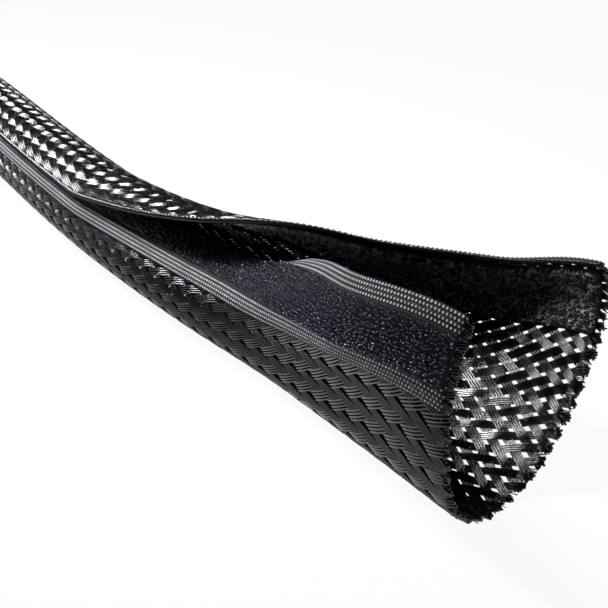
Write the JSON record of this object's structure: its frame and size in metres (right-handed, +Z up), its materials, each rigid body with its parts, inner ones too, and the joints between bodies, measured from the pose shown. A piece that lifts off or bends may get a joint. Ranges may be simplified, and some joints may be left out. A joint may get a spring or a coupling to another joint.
{
  "type": "split braided cable sleeve",
  "caption": "Side-opening braided cable sleeve with a hook tape and a loop tape along its split, closed at the back and splayed open at the cut end.",
  "frame": {"origin": "point on the table under the sleeve's bottom line, 12 mm behind the open cut end", "axes": "+X along the sleeve and out of its open end, +Y to the flap that carries the loop tape, +Z up"},
  "size_m": [0.2458, 0.0518, 0.0473],
  "materials": {
    "black_monofilament": "glossy round filaments",
    "hook_tape_fabric": "woven tape with stiff shiny hooks",
    "loop_tape_fabric": "matt pile of fine loops"
  },
  "bodies": {
    "root": {"braided_wall": "black_monofilament", "hook_tape": "hook_tape_fabric", "loop_tape": "loop_tape_fabric"}
  },
  "joints": []
}
